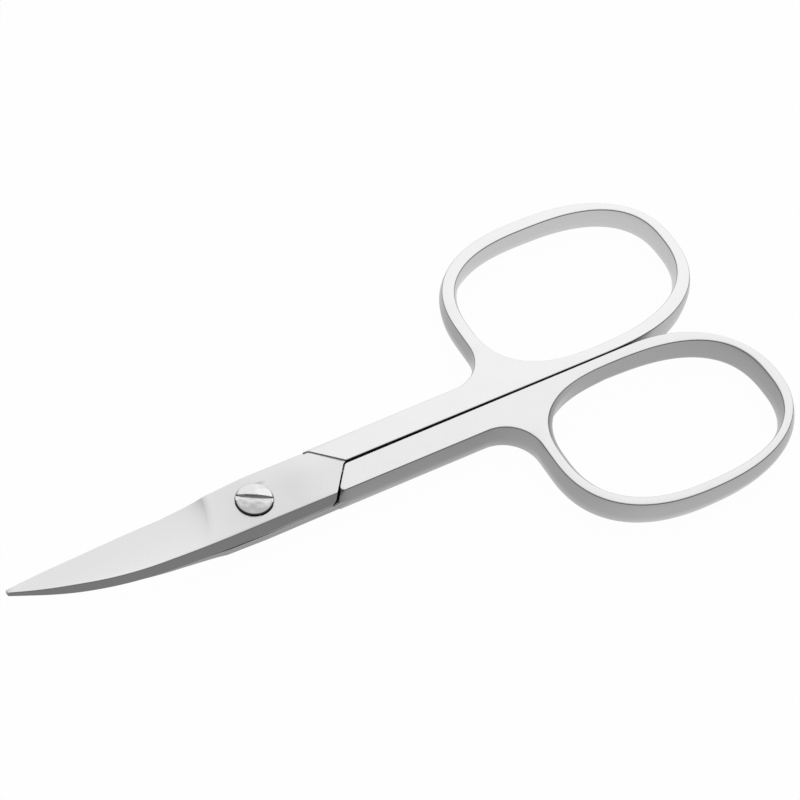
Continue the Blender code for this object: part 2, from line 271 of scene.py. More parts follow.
def shankOutline(spec, level):
    # level is "sole", "crest" at half height, or "face"; all three have as many points.
    swell, neckSwell, sideSwell = 0.0, 0.0, 0.0
    if level == "crest":
        swell, neckSwell, sideSwell = shank["swell"], spec["neckSwell"], ring["swell"]
    if level == "sole":
        neckSwell = -spec["neckTuck"]
    leaveX = spec["leaveX"]
    wallAtV, wallAtRing = spec["innerWall"]
    apex = Vector((spec["apex"] - wallAtV / math.tan(math.radians(spec["arm"])), wallAtV))
    width = shank["halfWidth"] + swell
    fillet = shank["neckFillet"]
    centre = Vector((spec["neckStart"] - fillet, spec["neckWidth"] + fillet))
    rounding = spec["shoulderRound"] if level == "face" else spec["crestRound"]
    shoulder = shoulderPoints(spec, width, rounding, level == "face" and spec["spur"])
    reach, side = ring["reach"] + spec["moreReach"] + swell, ring["side"] + sideSwell
    points = roundedCorner(apex, shoulder[-1], Vector((leaveX, wallAtRing)), spec["apexRound"])
    points += ovalQuarter(3, (leaveX, ring["endY"]), (reach - leaveX, ring["endY"] - wallAtRing),
                          spec["outerFullness"][3])
    points += ovalQuarter(0, (ring["crownX"], ring["endY"]),
                          (reach - ring["crownX"], side - ring["endY"]),
                          spec["outerFullness"][0])[1:]
    points += ovalQuarter(1, (ring["crownX"], ring["neckY"]),
                          (ring["crownX"] - spec["neckStart"] + neckSwell, side - ring["neckY"]),
                          spec["outerFullness"][1])[1:]
    points += [centre + Vector((point.x * (fillet - neckSwell), point.y * (fillet - swell)))
               for point in arc((0.0, 0.0), 1.0, 0.0, -math.pi / 2, detail["fillet"])]
    return points + shoulder


def holeOutline(spec, level):
    neck, end, side = spec["inwards"].get(level, (0.0, 0.0, 0.0))
    left = spec["neckStart"] + spec["bandNeck"] + neck
    right = ring["reach"] + spec["moreReach"] - spec["bandEnd"] - end
    low = spec["innerWall"][1] + spec["bandInner"]
    high = ring["side"] - spec["bandSide"] - side
    crownX, lowX, endY, neckY = (ring[key] for key in ("crownX", "lowX", "endY", "neckY"))
    centres = ((crownX, endY), (crownX, neckY), (lowX, neckY), (lowX, endY))
    corners = ((right, high), (left, high), (left, low), (right, low))
    fullness = spec["holeFullness"]["crest" if level == "crest" else "face"]
    points = []
    # Each quarter fills the box between its centre and its corner.
    for quadrant, (centre, corner) in enumerate(zip(centres, corners)):
        reach = (abs(corner[0] - centre[0]), abs(corner[1] - centre[1]))
        quarter = ovalQuarter(quadrant, centre, reach, fullness[quadrant])
        points += quarter if quadrant in (1, 3) else quarter[1:-1]
    return points


def shifted(outline, distances):
    # Moves each point of an outline to its left by its own distance.
    moved = []
    for index, point in enumerate(outline):
        before = (point - outline[index - 1]).normalized()
        after = (outline[(index + 1) % len(outline)] - point).normalized()
        left = Vector((-before.y - after.y, before.x + after.x)).normalized()
        moved.append(point + left * distances[index] / left.dot(Vector((-before.y, before.x))))
    return moved


def wallProfile(swell, crest, sole):
    # (distance into the metal, share of the swell, height) from the sole, up the wall, to the face.
    # sole is how far its rounding reaches into the metal and up the wall.
    top = shank["thickness"]
    squeeze = sole[0] / sole[1]

    def bulge(height):
        level = height / top
        away = (crest - level) / crest if level < crest else (level - crest) / (1 - crest)
        return 1 - away ** ring["swellCurve"]

    def wall(height):
        return Vector((-swell * bulge(height), height))

    edge = shank["edgeRound"]
    slanted = Vector((wall(sole[1]).x / squeeze, sole[1]))
    lower = roundedCorner(Vector((0.0, 0.0)), Vector((1.0, 0.0)), slanted, sole[1])[::-1]
    lower = [Vector((point.x * squeeze, point.y)) for point in lower]
    upper = roundedCorner(Vector((0.0, top)), wall(top - edge), Vector((1.0, top)), edge)[::-1]
    rows = detail["wall"]
    between = [wall(blend(lower[-1].y, upper[0].y, row / rows)) for row in range(1, rows)]
    return [(point.x + swell * bulge(point.y), bulge(point.y), point.y)
            for point in lower + between + upper]


def coveDepth(height):
    # How far the arm's foot runs out in a hollow towards the plate. Both halves are made with the
    # plate on top, and height is from below.
    low = blade["contact"] - shank["cove"]
    if height < low:
        return 0.0
    if height > blade["contact"]:
        return shank["cove"] * clamp(1 - (height - blade["contact"]) / shank["coveFade"])
    return shank["cove"] - math.sqrt(shank["cove"] ** 2 - (height - low) ** 2)


def makeShank(name, spec):
    walls = []
    shoulderStart = -2 * detail["corner"] - 1
    for outline, intoMetal in ((shankOutline, 1), (holeOutline, -1)):
        sole, crest, face = (outline(spec, level) for level in ("sole", "crest", "face"))
        # The points along the arm, from the shoulder to the V, with the cove and the finer edge.
        arms = set(range(detail["corner"] // 2)) | set(range(len(sole) + shoulderStart, len(sole)))
        if intoMetal < 0:
            arms = set()
        plain = Vector((shank["edgeRound"], shank["edgeRound"]))
        profiles = []
        for point, out in zip(sole, crest):
            if intoMetal < 0:
                neck = clamp((ring["crownX"] - point.x) / ring["neckRun"]) ** 2
                rounding = Vector(spec["holeSole"]).lerp(Vector(spec["neckSole"]), neck)
            else:
                neck = 0.0
                share = clamp((point.y - shank["halfWidth"]) / shank["neckFillet"])
                rounding = plain.lerp(Vector(spec["outerSole"]), share)
            crestHeight = blend(shank["crestHeight"], spec["neckCrest"], neck)
            profiles.append(wallProfile((out - point).length, crestHeight, rounding))
        levels = []
        for level in zip(*profiles):
            flat = [blend(face[i] if height > shank["thickness"] / 2 else sole[i], crest[i], bulge)
                    for i, (_, bulge, height) in enumerate(level)]
            insets = [intoMetal * inset * (shank["armEdge"] if i in arms else 1)
                      for i, (inset, _, _) in enumerate(level)]
            points = shifted(flat, insets)
            places = []
            for i, (point, (_, _, height)) in enumerate(zip(points, level)):
                z = height if spec["soleDown"] else shank["thickness"] - height
                inCove = i in arms and point.y < shank["halfWidth"] + shank["swell"]
                places.append((point.x - (coveDepth(z) if inCove else 0.0), point.y, z))
            levels.append(places)
        walls.append(bentGrid(name + "Wall", len(sole), len(levels) - 1,
                              lambda column, row: levels[row][column % len(levels[row])]))
    piece = joined(walls)
    piece.name = name
    closeLoops(piece, 0.0)
    closeLoops(piece, shank["thickness"])
    faceOutwards(piece)
    return piece


# The joint plate and blade of one half

blade = {
    "contactGap": 0.14,      # between the two plates and blades
    "touching": 0.03,        # and near the V, where they nearly touch
    "touchReach": 2.0,       # from the pivot to where they start to part
    "partLength": 5.0,
    "backPlate": 3.10,       # from the middle line to the wall
    "cuttingPlate": 3.12,
    "wallDraft": 0.24,       # how far the walls lean out, for each unit of their height
    "stepReach": 1.0,        # from the pivot to where the plate gets thinner towards the V
    "stepLength": 10.0,
    "armGap": 0.17,          # between the plate's end and the other half's arm
    "runoutReach": 4.8,      # from the pivot to the bevel's start at the cutting edge
    "runoutLean": 2.0,       # how much further out it starts at the back
    "runoutCurve": 1.5,
    "runoutStep": 0.3,       # quick drop of the surface there, and the run that it takes
    "runoutLength": 1.1,
    "bevelReach": 20.8,      # to where the bevel has its full depth
    "bevelCurve": 1.2,       # along the blade; 1 would be straight
    "bevelHollow": 1.15,     # and across it
    "bellyReach": 10.0,      # to where the fine rows round the run-out end
    "backTaper": 0.42,       # share of its thickness that the back loses on its way to the tip
    "tipWidth": 0.53,
    "tipThickness": 0.38,
    "tipGrind": 7.5,         # length over which the back thins out at the tip
    "grindCurve": 1.5,
    "edgeThickness": 0.14,
    "bendReach": 3.2,        # to where the blades start to bend upwards
    "bendRadius": 91.0,
    "edgeRound": 0.12,
}
blade["tipReach"] = pivot.x - upperLow.x
blade["contact"] = (shank["thickness"] + blade["contactGap"]) / 2
blade["plate"] = shank["thickness"] - blade["contact"]
bladeRows = {"v": 10, "plate": 10, "runout": 40, "belly": 34, "tip": 28}      # from the V on
bladeColumns = {"face": 30, "edge": 4, "wall": 6}


def plateEnd(y, other):
    # The plate stops at the other half's arm and runs on into its own shank.
    angle = math.radians(other["arm"])
    apex = other["apex"] - blade["armGap"] / math.sin(angle)
    if y <= 0:
        return apex + y / math.tan(angle)
    return apex + y * math.tan((math.pi - angle) / 2)


def endCut(height):
    # How far the plate's end is cut back at its foot, clear of the hollow at the other half's arm.
    left = clamp(shank["cove"] - height, 0.0, shank["cove"])
    return shank["cove"] - math.sqrt(shank["cove"] ** 2 - left ** 2)


def contactHeight(x):
    # Height of the inner face of plate and blade.
    apart = clamp((blade["touchReach"] - x) / blade["partLength"])
    gap = blend(blade["touching"], blade["contactGap"], apart)
    return (shank["thickness"] + gap) / 2


def bladeWidth(x, plateWidth, belly, bellyReach):
    # From the middle line to one wall: straight as far as the belly, then on one arc to the tip.
    if x > -bellyReach:
        return blend(plateWidth, belly, max(0.0, -x / bellyReach))
    run = blade["tipReach"] - bellyReach
    drop = belly - blade["tipWidth"] / 2
    radius = (run ** 2 + drop ** 2) / (2 * drop)
    return belly - radius + math.sqrt(radius ** 2 - (x + bellyReach) ** 2)


def bendRise(x):
    # How far the blade has risen on the arc of its bend.
    beyond = max(0.0, -x - blade["bendReach"])
    return blade["bendRadius"] - math.sqrt(blade["bendRadius"] ** 2 - beyond ** 2)


def runoutX(share):
    # Where the bevel starts; share goes from 0 at the back to 1 at the cutting edge.
    return -blade["runoutReach"] - blade["runoutLean"] * (1 - share) ** blade["runoutCurve"]


def backThickness(x, plateStep):
    # At the back, where plate and blade are ground thinner towards the V and towards the tip.
    ground = clamp((x - blade["stepReach"]) / blade["stepLength"])
    tapered = max(0.0, -x / blade["tipReach"])
    plate = blade["plate"] * (1 - blade["backTaper"] * tapered) - plateStep * ground
    tipShare = max(0.0, 1 - (x + blade["tipReach"]) / blade["tipGrind"])
    return blend(plate, blade["tipThickness"], tipShare ** blade["grindCurve"])


def bladeThickness(x, share, plateStep):
    # Anywhere between back and cutting edge, with the bevel.
    back = backThickness(x, plateStep)
    beyond = max(0.0, runoutX(share) - x)
    first = blade["runoutStep"] / blade["plate"]
    remaining = max(0.0, 1 - beyond / (blade["bevelReach"] - blade["runoutReach"]))
    depth = (first * (1 - math.exp(-beyond / blade["runoutLength"]))
             + (1 - first) * (1 - remaining ** blade["bevelCurve"]))
    return back - (back - blade["edgeThickness"]) * min(depth, 1.0) * share ** blade["bevelHollow"]


def bladeSection():
    # Once round the section: (which part, share of that part). On its two faces the second is the
    # side instead, from -1 at the back to 1 at the cutting edge.
    face, edge, wall = (bladeColumns[part] for part in ("face", "edge", "wall"))
    section = [("contact", blend(1, -1, step / face)) for step in range(face + 1)]
    section += [("back", step / wall) for step in range(1, wall)]
    section += [("backRound", step / edge) for step in range(edge)]
    section += [("outer", blend(-1, 1, step / face)) for step in range(face + 1)]
    section += [("edgeRound", 1 - step / edge) for step in range(1, edge + 1)]
    section += [("edge", 1 - step / wall) for step in range(1, wall)]
    return section


def bladeRuns():
    # (which stretch, share of that stretch) for each row from the V to the tip.
    runs = [("v", 0.0)]
    for stretch, rows in bladeRows.items():
        runs += [(stretch, (row + 1) / rows) for row in range(rows)]
    return runs


def makeBlade(name, spec, other):
    section = bladeSection()
    runs = bladeRuns()
    lean = math.atan(blade["wallDraft"])

    def place(column, row):
        part, share = section[column % len(section)]
        side = share if part in ("contact", "outer") else (-1 if part.startswith("back") else 1)
        plateWidth = blade["backPlate"] if side < 0 else blade["cuttingPlate"]
        belly, bellyReach = spec["backBelly"] if side < 0 else spec["cuttingBelly"]
        wholeWidth = blade["backPlate"] + blade["cuttingPlate"]
        across = (side * plateWidth + blade["backPlate"]) / wholeWidth
        stops = (plateEnd(side * plateWidth, other), blade["stepReach"], runoutX(across),
                 -blade["bellyReach"], blade["tipGrind"] - blade["tipReach"], -blade["tipReach"])
        stretch, along = runs[row]
        index = list(bladeRows).index(stretch)
        x = blend(stops[index], stops[index + 1], along)
        low = contactHeight(x) + spec["bend"] * bendRise(x)
        thickness = (bladeThickness(x, across, spec["plateStep"]) + blade["contact"]
                     - contactHeight(x))
        width = bladeWidth(x, plateWidth, belly, bellyReach)
        radius = min(blade["edgeRound"], thickness / 4, width / 4)
        centre = Vector((width - radius * math.tan((math.pi / 2 - lean) / 2),
                         low + thickness - radius))
        foot = Vector((width + blade["wallDraft"] * thickness, low))
        if part == "contact":
            point = foot
        elif part == "outer":
            point = centre + Vector((0.0, radius))
        else:
            turn = lean if part in ("back", "edge") else blend(lean, math.pi / 2, share)
            point = centre + Vector((math.cos(turn), math.sin(turn))) * radius
            if part in ("back", "edge"):
                point = blend(foot, point, share)
        if row == 0:
            x = plateEnd(side * point.x, other) - endCut(point.y - low)
        return x, side * point.x, point.y

    piece = bentGrid(name, len(section), len(runs) - 1, place)
    closeEnds(piece)
    faceOutwards(piece)
    return piece


# The pivot screw

screw = {
    "headRadius": 2.04,
    "headHeight": 1.15,      # of its side, up to the rim
    "headProud": 0.3,        # how far the rim stands over the plate
    "dome": 0.26,            # height of the top over the rim
    "domeRings": 12,
    "rimRound": 0.16,
    "clearance": 0.08,       # round the head and under it
    "neckRadius": 1.2,
    "running": 0.05,         # clearance of the neck in the upper half
    "thread": 0.04,          # and in the lower half
    "endRecess": 0.08,       # how far the end lies behind the lower half's outer face
    "endChamfer": 0.15,
    "holeFrom": 0.5,         # where the holes' cutters start, under the plate
    "through": 1.0,          # how far they stand out above it
    "slotLength": 6.0,       # of the cutter, which is longer than the head is wide
    "slotWidth": 0.62,
    "slotDepth": 0.38,
    "slotAngle": -31.0,
    "slotBreak": 0.03,       # of its edges
    "seatBreak": 0.02,
    "breakAngle": 0.9,       # the slot's edges turn by more than this, in radians,
    "breakDepth": 0.15,      # and lie no further below the rim
    "tolerance": 0.01,       # when an edge is looked for by its place
    "lookUp": 0.5,           # faces whose normal rises more than this look up
    "steps": 96,
}
screw["rim"] = shank["thickness"] + screw["headProud"]
screw["under"] = screw["rim"] - screw["headHeight"]


def circleEdge(edge, radius, height):
    return all(abs(vert.co.z / mm - height) < screw["tolerance"]
               and abs(math.hypot(vert.co.x, vert.co.y) / mm - radius) < screw["tolerance"]
               for vert in edge.verts)


def drill(piece, name, radius, low):
    # Cuts a round hole from a height up through the plate.
    combine(piece, cylinder(name, radius, low, shank["thickness"] + screw["through"]), "DIFFERENCE")


def sinkSeat(piece):
    # The hole for the neck, and the seat of the screw's head with its rim broken.
    seat = screw["headRadius"] + screw["clearance"]
    drill(piece, "neckHole", screw["neckRadius"] + screw["running"], screw["holeFrom"])
    drill(piece, "seat", seat, screw["under"] - screw["clearance"])
    edit(piece)
    choose(piece, "EDGE", lambda edge: circleEdge(edge, seat, shank["thickness"]))
    bpy.ops.mesh.bevel(offset=screw["seatBreak"] * mm, segments=2, affect="EDGES")
    bpy.ops.object.mode_set(mode="OBJECT")


def makeScrew():
    neck, head = screw["neckRadius"], screw["headRadius"]
    piece = cylinder("pivotScrew", neck, screw["endRecess"], screw["under"])
    edit(piece)
    choose(piece, "EDGE", lambda edge: circleEdge(edge, neck, screw["endRecess"]))
    bpy.ops.mesh.bevel(offset=screw["endChamfer"] * mm, segments=1, affect="EDGES")
    choose(piece, "FACE", lambda face: face.normal.z > screw["lookUp"])
    bpy.ops.mesh.extrude_region_move(TRANSFORM_OT_translate={"value": (0, 0, 0)})
    bpy.ops.transform.resize(value=(head / neck, head / neck, 1))
    headRise = (0, 0, screw["headHeight"] * mm)
    bpy.ops.mesh.extrude_region_move(TRANSFORM_OT_translate={"value": headRise})
    rings = screw["domeRings"]
    for step in range(1, rings):
        rise = screw["dome"] * (((rings - step + 1) / rings) ** 2 - ((rings - step) / rings) ** 2)
        bpy.ops.mesh.inset(thickness=head / rings * mm, depth=rise * mm)
    choose(piece, "EDGE", lambda edge: circleEdge(edge, head, screw["rim"]))
    bpy.ops.mesh.bevel(offset=screw["rimRound"] * mm, segments=6, affect="EDGES")
    bpy.ops.object.mode_set(mode="OBJECT")

    deselect()
    bpy.ops.mesh.primitive_cube_add(size=1.0, location=(0, 0, (screw["rim"] + screw["dome"]) * mm))
    slot = bpy.context.object
    slot.scale = Vector((screw["slotLength"], screw["slotWidth"], 2 * screw["slotDepth"])) * mm
    turn = math.radians(screw["slotAngle"])
    slot.rotation_euler.z = turn
    bpy.ops.object.transform_apply()
    combine(piece, slot, "DIFFERENCE")

    acrossSlot = Vector((-math.sin(turn), math.cos(turn), 0.0))
    edit(piece)
    choose(piece, "EDGE", lambda edge: edge.is_manifold
           and edge.calc_face_angle() > screw["breakAngle"] and all(
               abs(abs(vert.co.dot(acrossSlot)) / mm - screw["slotWidth"] / 2) < screw["tolerance"]
               and vert.co.z / mm > screw["rim"] - screw["breakDepth"] for vert in edge.verts))
    bpy.ops.mesh.bevel(offset=screw["slotBreak"] * mm, segments=2, affect="EDGES")
    bpy.ops.object.mode_set(mode="OBJECT")
    faceOutwards(piece)
    return piece


# Making the three pieces

halves = {
    "upperHalf": {
        "node": "upper_half", "bend": 1, "soleDown": True, "spur": True,
        "apex": 11.5,                  # from the pivot to the V
        "arm": 42.8,                   # angle of the step between shank and plate
        "plateStep": 0.2,              # the plate's face below the shank's at the V
        # Radius at the V, at the shoulder's face, and at the shoulder below it.
        "apexRound": 0.25, "shoulderRound": 0.2, "crestRound": 0.12,
        "innerWall": (0.14, -0.06),    # from the middle line, at the V and where the ring leaves it
        "leaveX": 44.8,                # from the pivot to the second of these places
        "neckStart": 31.3,             # from the pivot to the outer wall of the ring's neck
        "neckWidth": 3.2,              # from the middle line to the shank's wall next to it
        "neckSwell": 0.05,             # of the neck's outer wall at half height
        "neckTuck": 0.3,               # and how far it is set back at the sole
        "moreReach": 0.06,             # of the ring's end, beyond the solid's
        # Fullness of each quarter; 2 would be an ellipse.
        "outerFullness": {0: 2.3, 1: 2.5, 3: 2.5},
        "holeFullness": {"face": (2.6, 2.58, 2.5, 2.42), "crest": (2.6, 2.66, 2.5, 2.42)},
        # Width of the ring's band at its face.
        "bandSide": 1.42, "bandInner": 1.35, "bandNeck": 1.37, "bandEnd": 1.18,
        # How far the sole is rounded, into the metal and up the wall.
        "outerSole": (0.3, 0.3), "holeSole": (0.75, 1.8), "neckSole": (0.5, 0.9),
        # How much wider the band is at crest and sole than at the face: at neck, end and side.
        "inwards": {"crest": (0.55, 0.4, 0.2), "sole": (0.0, 0.1, 0.0)},
        "neckCrest": 0.6,              # crestHeight of the hole's wall at the neck
        "backBelly": (2.87, 11.5),     # half width, and how far out the blade starts to narrow
        "cuttingBelly": (2.62, 10.0),
    },
    "lowerHalf": {
        "node": "lower_half", "bend": -1, "soleDown": False, "spur": False,
        "apex": 11.12, "arm": 51.5, "plateStep": 0.0, "apexRound": 0.55,
        "shoulderRound": 0.4, "crestRound": 0.22,
        "innerWall": (0.14, 0.20), "leaveX": 47.5,
        "neckStart": 31.62, "neckWidth": 3.32, "neckSwell": 0.4, "neckTuck": 0.0, "moreReach": 0.0,
        "outerFullness": {0: 2.25, 1: 2.4, 3: 2.15},
        "holeFullness": {"face": (2.42, 2.45, 2.55, 2.65), "crest": (2.45, 2.5, 2.45, 2.6)},
        "bandSide": 1.0, "bandInner": 1.3, "bandNeck": 1.05, "bandEnd": 1.2,
        "outerSole": (0.2, 0.2), "holeSole": (0.6, 0.95), "neckSole": (0.2, 0.4),
        "inwards": {"crest": (0.7, 0.45, 0.25), "sole": (0.35, 0.3, 0.0)}, "neckCrest": 0.71,
        "backBelly": (2.35, 10.0), "cuttingBelly": (2.92, 10.0),
    },
}
halfPieces = {}
for name, spec in halves.items():
    piece = makeShank(name, spec)
    other = halves["lowerHalf" if name == "upperHalf" else "upperHalf"]
    combine(piece, makeBlade(name + "Blade", spec, other), "UNION")
    if name == "upperHalf":
        sinkSeat(piece)
    else:
        drill(piece, "screwHole", screw["neckRadius"] + screw["thread"], screw["holeFrom"])
        # It was made with its plate on top too, and is turned over here.
        raised = Matrix.Translation((0, 0, shank["thickness"] * mm))
        piece.data.transform(raised @ Matrix.Rotation(math.pi, 4, "X"))
    piece.data.transform(Matrix.Translation((pivot.x * mm, 0, 0)))
    shade(piece)
    markHole(piece, spec)
    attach(piece, spec["node"])
    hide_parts(spec["node"])
    halfPieces[name] = piece
    print("made", name, len(piece.data.polygons), "faces")

screwPiece = makeScrew()
screwPiece.data.transform(Matrix.Translation((pivot.x * mm, 0, 0)))
shade(screwPiece)
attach(screwPiece, "lower_half")
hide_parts("pivot_screw")
print("made pivotScrew", len(screwPiece.data.polygons), "faces")


# Shader maths

class Wire:
    # A node socket that takes part in sums.
    def __init__(self, tree, socket):
        self.tree = tree
        self.socket = socket

    def maths(self, operation, first, second):
        return addNode(self.tree, "ShaderNodeMath", {"operation": operation}, i0=first, i1=second)

    def __add__(self, other):
        return self.maths("ADD", self, other)

    __radd__ = __add__

    def __sub__(self, other):
        return self.maths("SUBTRACT", self, other)

    def __rsub__(self, other):
        return self.maths("SUBTRACT", other, self)

    def __mul__(self, other):
        return self.maths("MULTIPLY", self, other)

    __rmul__ = __mul__

    def __abs__(self):
        return addNode(self.tree, "ShaderNodeMath", {"operation": "ABSOLUTE"}, i0=self)


def addNode(tree, kind, settings=None, output=0, **inputs):
    node = tree.nodes.new(kind)
    for key, value in (settings or {}).items():
        setattr(node, key, value)
    for key, value in inputs.items():
        numbered = key[0] == "i" and key[1:].isdigit()
        socket = node.inputs[int(key[1:]) if numbered else key]
        if isinstance(value, Wire):
            tree.links.new(value.socket, socket)
        else:
            socket.default_value = value
    return Wire(tree, node.outputs[output])


def ramp(tree, value, low, high, start=0.0, end=1.0):
    return addNode(tree, "ShaderNodeMapRange", {"interpolation_type": "SMOOTHSTEP"},
                   i0=value, i1=low, i2=high, i3=start, i4=end)


def mix(start, end, share):
    return start + share * (end - start)


def parts(tree, vector):
    node = tree.nodes.new("ShaderNodeSeparateXYZ")
    tree.links.new(vector.socket, node.inputs[0])
    return [Wire(tree, socket) for socket in node.outputs]


def attribute(tree, name):
    return addNode(tree, "ShaderNodeAttribute", {"attribute_name": name}, output="Fac")


def grey(tree, value):
    return addNode(tree, "ShaderNodeCombineColor", None, i0=value, i1=value, i2=value)


def noise(tree, place, scale, stretch=(1.0, 1.0, 1.0), detailLevel=3.0):
    # Scale is in bumps to the millimetre; stretch is how long they are along each axis.
    size = [scale / mm / part for part in stretch]
    mapped = addNode(tree, "ShaderNodeMapping", {"vector_type": "POINT"}, Vector=place, Scale=size)
    return addNode(tree, "ShaderNodeTexNoise", None, Vector=mapped, Scale=1.0, Detail=detailLevel)


def newMaterial(name):
    material = bpy.data.materials.new(name)
    material.use_nodes = True
    return material, material.node_tree, material.node_tree.nodes["Principled BSDF"]


def setMetal(tree, shader, tone, rough, bump):
    tree.links.new(grey(tree, tone).socket, shader.inputs["Base Color"])
    tree.links.new(rough.socket, shader.inputs["Roughness"])
    tree.links.new(bump.socket, shader.inputs["Normal"])
    shader.inputs["Metallic"].default_value = 1.0


steel = {
    "shank": {"upperHalf": 0.79, "lowerHalf": 0.76},
    "plate": 0.655,
    "plateAtV": 0.70,
    "cuttingSide": 0.05,     # more towards the side of the cutting edge
    "blade": 0.735,
    # Painted shade: the walls take these darker tones in place of the dark surroundings that they
    # reflect.
    "holeWallShade": {"upperHalf": 0.54, "lowerHalf": 0.34},
    "ringWallShade": 0.42,
    "shankWallShade": 0.275,
    "bladeWallShade": {"upperHalf": 0.19, "lowerHalf": 0.19},
    "edge": 0.14,            # painted dark line, in place of the dark reflection on a shank's rounded edge between face and wall
    "edgeSheen": 0.84,            # painted highlight along the rounded edges of the faces, which are also rubbed smoother
    "edgeSheenShare": 0.5,
    "seamHighlight": 0.33,          # painted light line where the two plates' walls meet
    "grain": 14.0,           # lines to the millimetre
    "grainLength": 14.0,     # of a line, to its width
    "grainTone": 0.10,
    "cloud": 0.5,            # soft patches to the millimetre
    "cloudTone": 0.03,
    "faceRoughness": 0.30,
    "wallRoughness": 0.27,
    "grainRough": 0.12,
    "cloudRough": 0.08,
    "wearRough": 0.06,       # how much smoother the rubbed places are
    "bumpStrength": 0.25,
    "bumpDepth": 0.01,
}
turns = {
    # Where one finish, or one painted shade or highlight, turns into the next, by how level a face
    # is, from 0 to 1,
    "wall": (0.82, 0.93),
    "edgeShadeLook": (0.60, 0.72),
    "edgeSheenStart": (0.70, 0.80),
    "edgeSheenEnd": (0.90, 0.94),
    # along the scissors, from the middle of their length,
    "bladeSide": (-8.0, -6.0),
    "shankSide": (10.0, 22.0),
    # along them, from the pivot,
    "bladeFace": (-7.0, -5.0),
    "towardsBlade": (-7.0, 5.0),
    "seamLight": (-3.0, 3.0),
    "atV": (4.0, 9.0),
    # behind a half's own arm,
    "plate": (-0.05, 0.0),
    "edgeShadeStart": (0.15, 0.35),
    # from half height,
    "seamLightHeight": (0.06, 0.26),
    # from the level of the faces and the sole,
    "edgeShadeHeight": (-0.16, -0.09),
    # and from the middle line.
    "cuttingSide": (0.0, 3.2),
}


def satinSteel(name, spec):
    material, tree, shader = newMaterial(name + "Steel")
    place = addNode(tree, "ShaderNodeTexCoord", None, output="Object")
    x, y, z = (part * (1 / mm) for part in parts(tree, place))
    inside = attribute(tree, "inside")
    upright = abs(attribute(tree, "facing"))

    def turn(value, key, origin=0.0, start=0.0, end=1.0):
        low, high = turns[key]
        return ramp(tree, value, origin + low, origin + high, start, end)

    wall = 1 - turn(upright, "wall")
    bladeSide = 1 - turn(x, "bladeSide")
    shankSide = 1 - turn(x, "shankSide")

    # How far a point lies behind its arm; the plate and the blade are ground after the shank.
    slope = math.radians(spec["arm"])
    fromArm = x - (pivot.x + spec["apex"]) + y * (spec["bend"] / math.tan(slope))
    plate = 1 - turn(fromArm, "plate")
    bladeFace = 1 - turn(x, "bladeFace", pivot.x)
    towardsBlade = 1 - turn(x, "towardsBlade", pivot.x)

    grainAlong = noise(tree, place, steel["grain"], (steel["grainLength"], 1.0, 1.0))
    grainAcross = noise(tree, place, steel["grain"], (1.0, steel["grainLength"], 1.0))
    grain = mix(grainAlong, grainAcross, bladeFace) - 0.5
    cloud = noise(tree, place, steel["cloud"]) - 0.5

    middle = shank["thickness"] / 2
    fromMiddle = abs(z - middle)
    # Painted shade: a dark line where a shank's rounded edge turns down to its wall.
    edge = (turn(fromMiddle, "edgeShadeHeight", middle) * (1 - turn(upright, "edgeShadeLook"))
            * turn(fromArm, "edgeShadeStart"))
    # Painted highlight where a face's edge starts to round over; the same band is made smoother too.
    edgeSheen = turn(upright, "edgeSheenStart") * (1 - turn(upright, "edgeSheenEnd"))
    # Painted highlight: a light line on the blade's walls where the two plates meet, near the pivot.
    seamLight = (1 - turn(fromMiddle, "seamLightHeight")) * wall * bladeSide * turn(x, "seamLight", pivot.x)

    # Painted shade: darker tones for the walls of ring, shank, hole and blade.
    ringTone = mix(steel["ringWallShade"], steel["shankWallShade"], shankSide)
    ringTone = mix(ringTone, steel["holeWallShade"][name], inside)
    wallShade = mix(ringTone, steel["bladeWallShade"][name], bladeSide)
    plateTone = (turn(x, "atV", pivot.x, steel["plate"], steel["plateAtV"])
                 + turn(y * spec["bend"], "cuttingSide", 0.0, 0.0, steel["cuttingSide"]))
    faceTone = mix(mix(steel["shank"][name], plateTone, plate), steel["blade"], towardsBlade)
    tone = mix(faceTone, wallShade, wall)
    # Painted highlight, then the painted dark line, along the rounded edges.
    tone = mix(mix(tone, steel["edgeSheen"], edgeSheen * steel["edgeSheenShare"]), steel["edge"], edge)
    # Painted light line where the plates' walls meet.
    tone = mix(tone, steel["seamHighlight"], seamLight)
    tone = tone * (1 + grain * steel["grainTone"] + cloud * steel["cloudTone"])

    rough = (mix(steel["faceRoughness"], steel["wallRoughness"], wall) + grain * steel["grainRough"]
             + cloud * steel["cloudRough"] - edgeSheen * steel["wearRough"])
    bump = addNode(tree, "ShaderNodeBump", None, Strength=steel["bumpStrength"],
                   Distance=steel["bumpDepth"] * mm, Height=grain)
    setMetal(tree, shader, tone, rough, bump)
    return material


polish = {
    "top": 0.74,
    "rim": 0.08,             # painted shade: the head's side, dark like the shadowed gap round it
    # Painted shade in the slot, darker than the top.
    "slotWallShade": 0.40,
    "slotFloorShade": 0.55,
    "lookUp": (0.5, 0.85),         # how level a face is where side turns into top
    "rimWidth": (0.3, 0.15),       # inwards from the head's side
    "floorDepth": (0.2, 0.05),     # below the rim
    "rings": 9.0,            # fine turned rings to the millimetre
    "ringTone": 0.10,
    "roughness": 0.17,
    "ringRough": 0.10,
    "ringDepth": 0.002,
    "wave": 0.8,             # shallow waves of the polished top, to the millimetre
    "waveDepth": 0.12,
}


